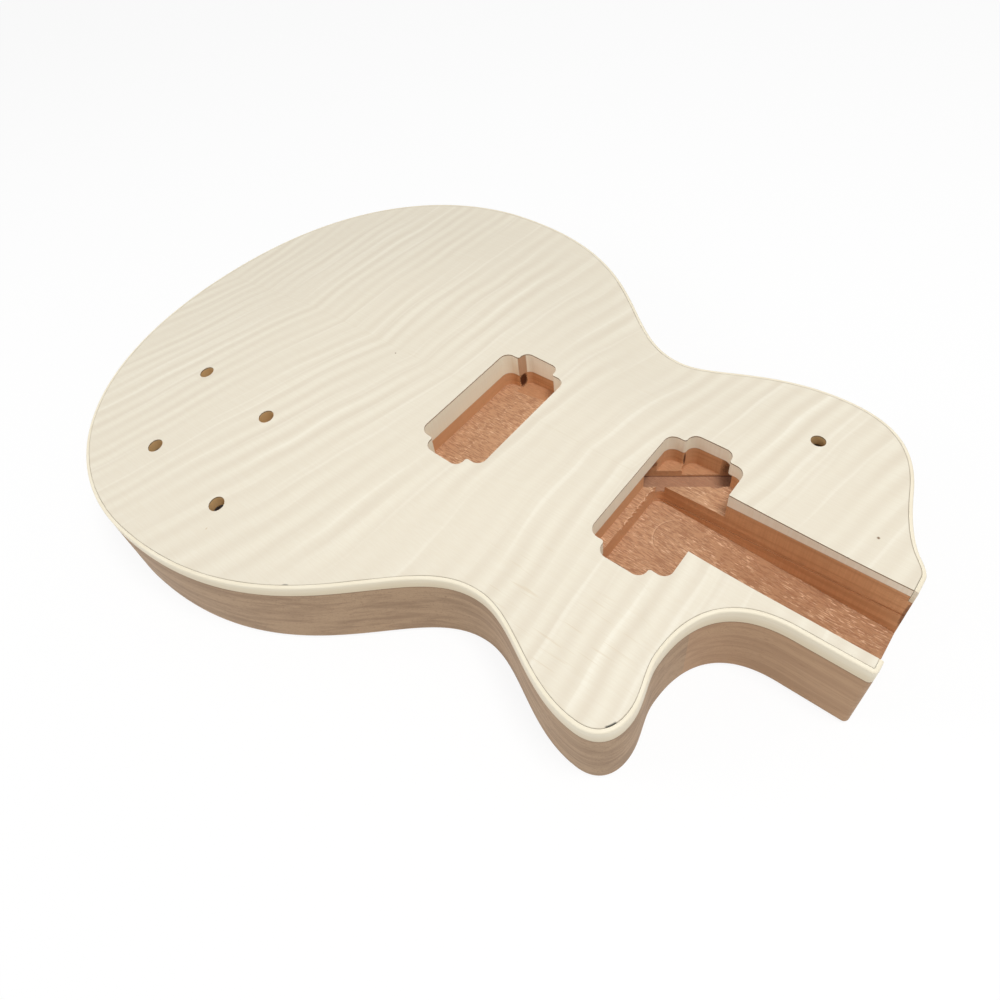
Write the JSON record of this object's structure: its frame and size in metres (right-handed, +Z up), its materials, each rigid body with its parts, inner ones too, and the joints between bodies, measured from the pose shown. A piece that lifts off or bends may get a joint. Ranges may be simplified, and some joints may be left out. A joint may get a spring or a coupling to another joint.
{
  "type": "electric guitar body",
  "caption": "Unfinished single-cut solid guitar body with a bound, carved figured-maple top, pickup pockets, neck channel and rear control hollows.",
  "frame": {"origin": "centre of the footprint on the flat back face", "axes": "+X from the butt to the neck end, +Y to the bass side, +Z up from the back to the carved top"},
  "size_m": [0.443, 0.322, 0.056],
  "materials": {
    "back_wood": "bare, machined and sanded",
    "cap_wood": "bare, routed",
    "figured_veneer": "bare, fine sanded",
    "binding_plastic": "scraped and sanded"
  },
  "bodies": {
    "root": {"back_centre_board": "back_wood", "back_bass_board": "back_wood", "back_treble_board": "back_wood", "cap_core_bass": "cap_wood", "cap_core_treble": "cap_wood", "veneer_bass": "figured_veneer", "veneer_treble": "figured_veneer", "binding_bass": "binding_plastic", "binding_treble": "binding_plastic"}
  },
  "joints": []
}
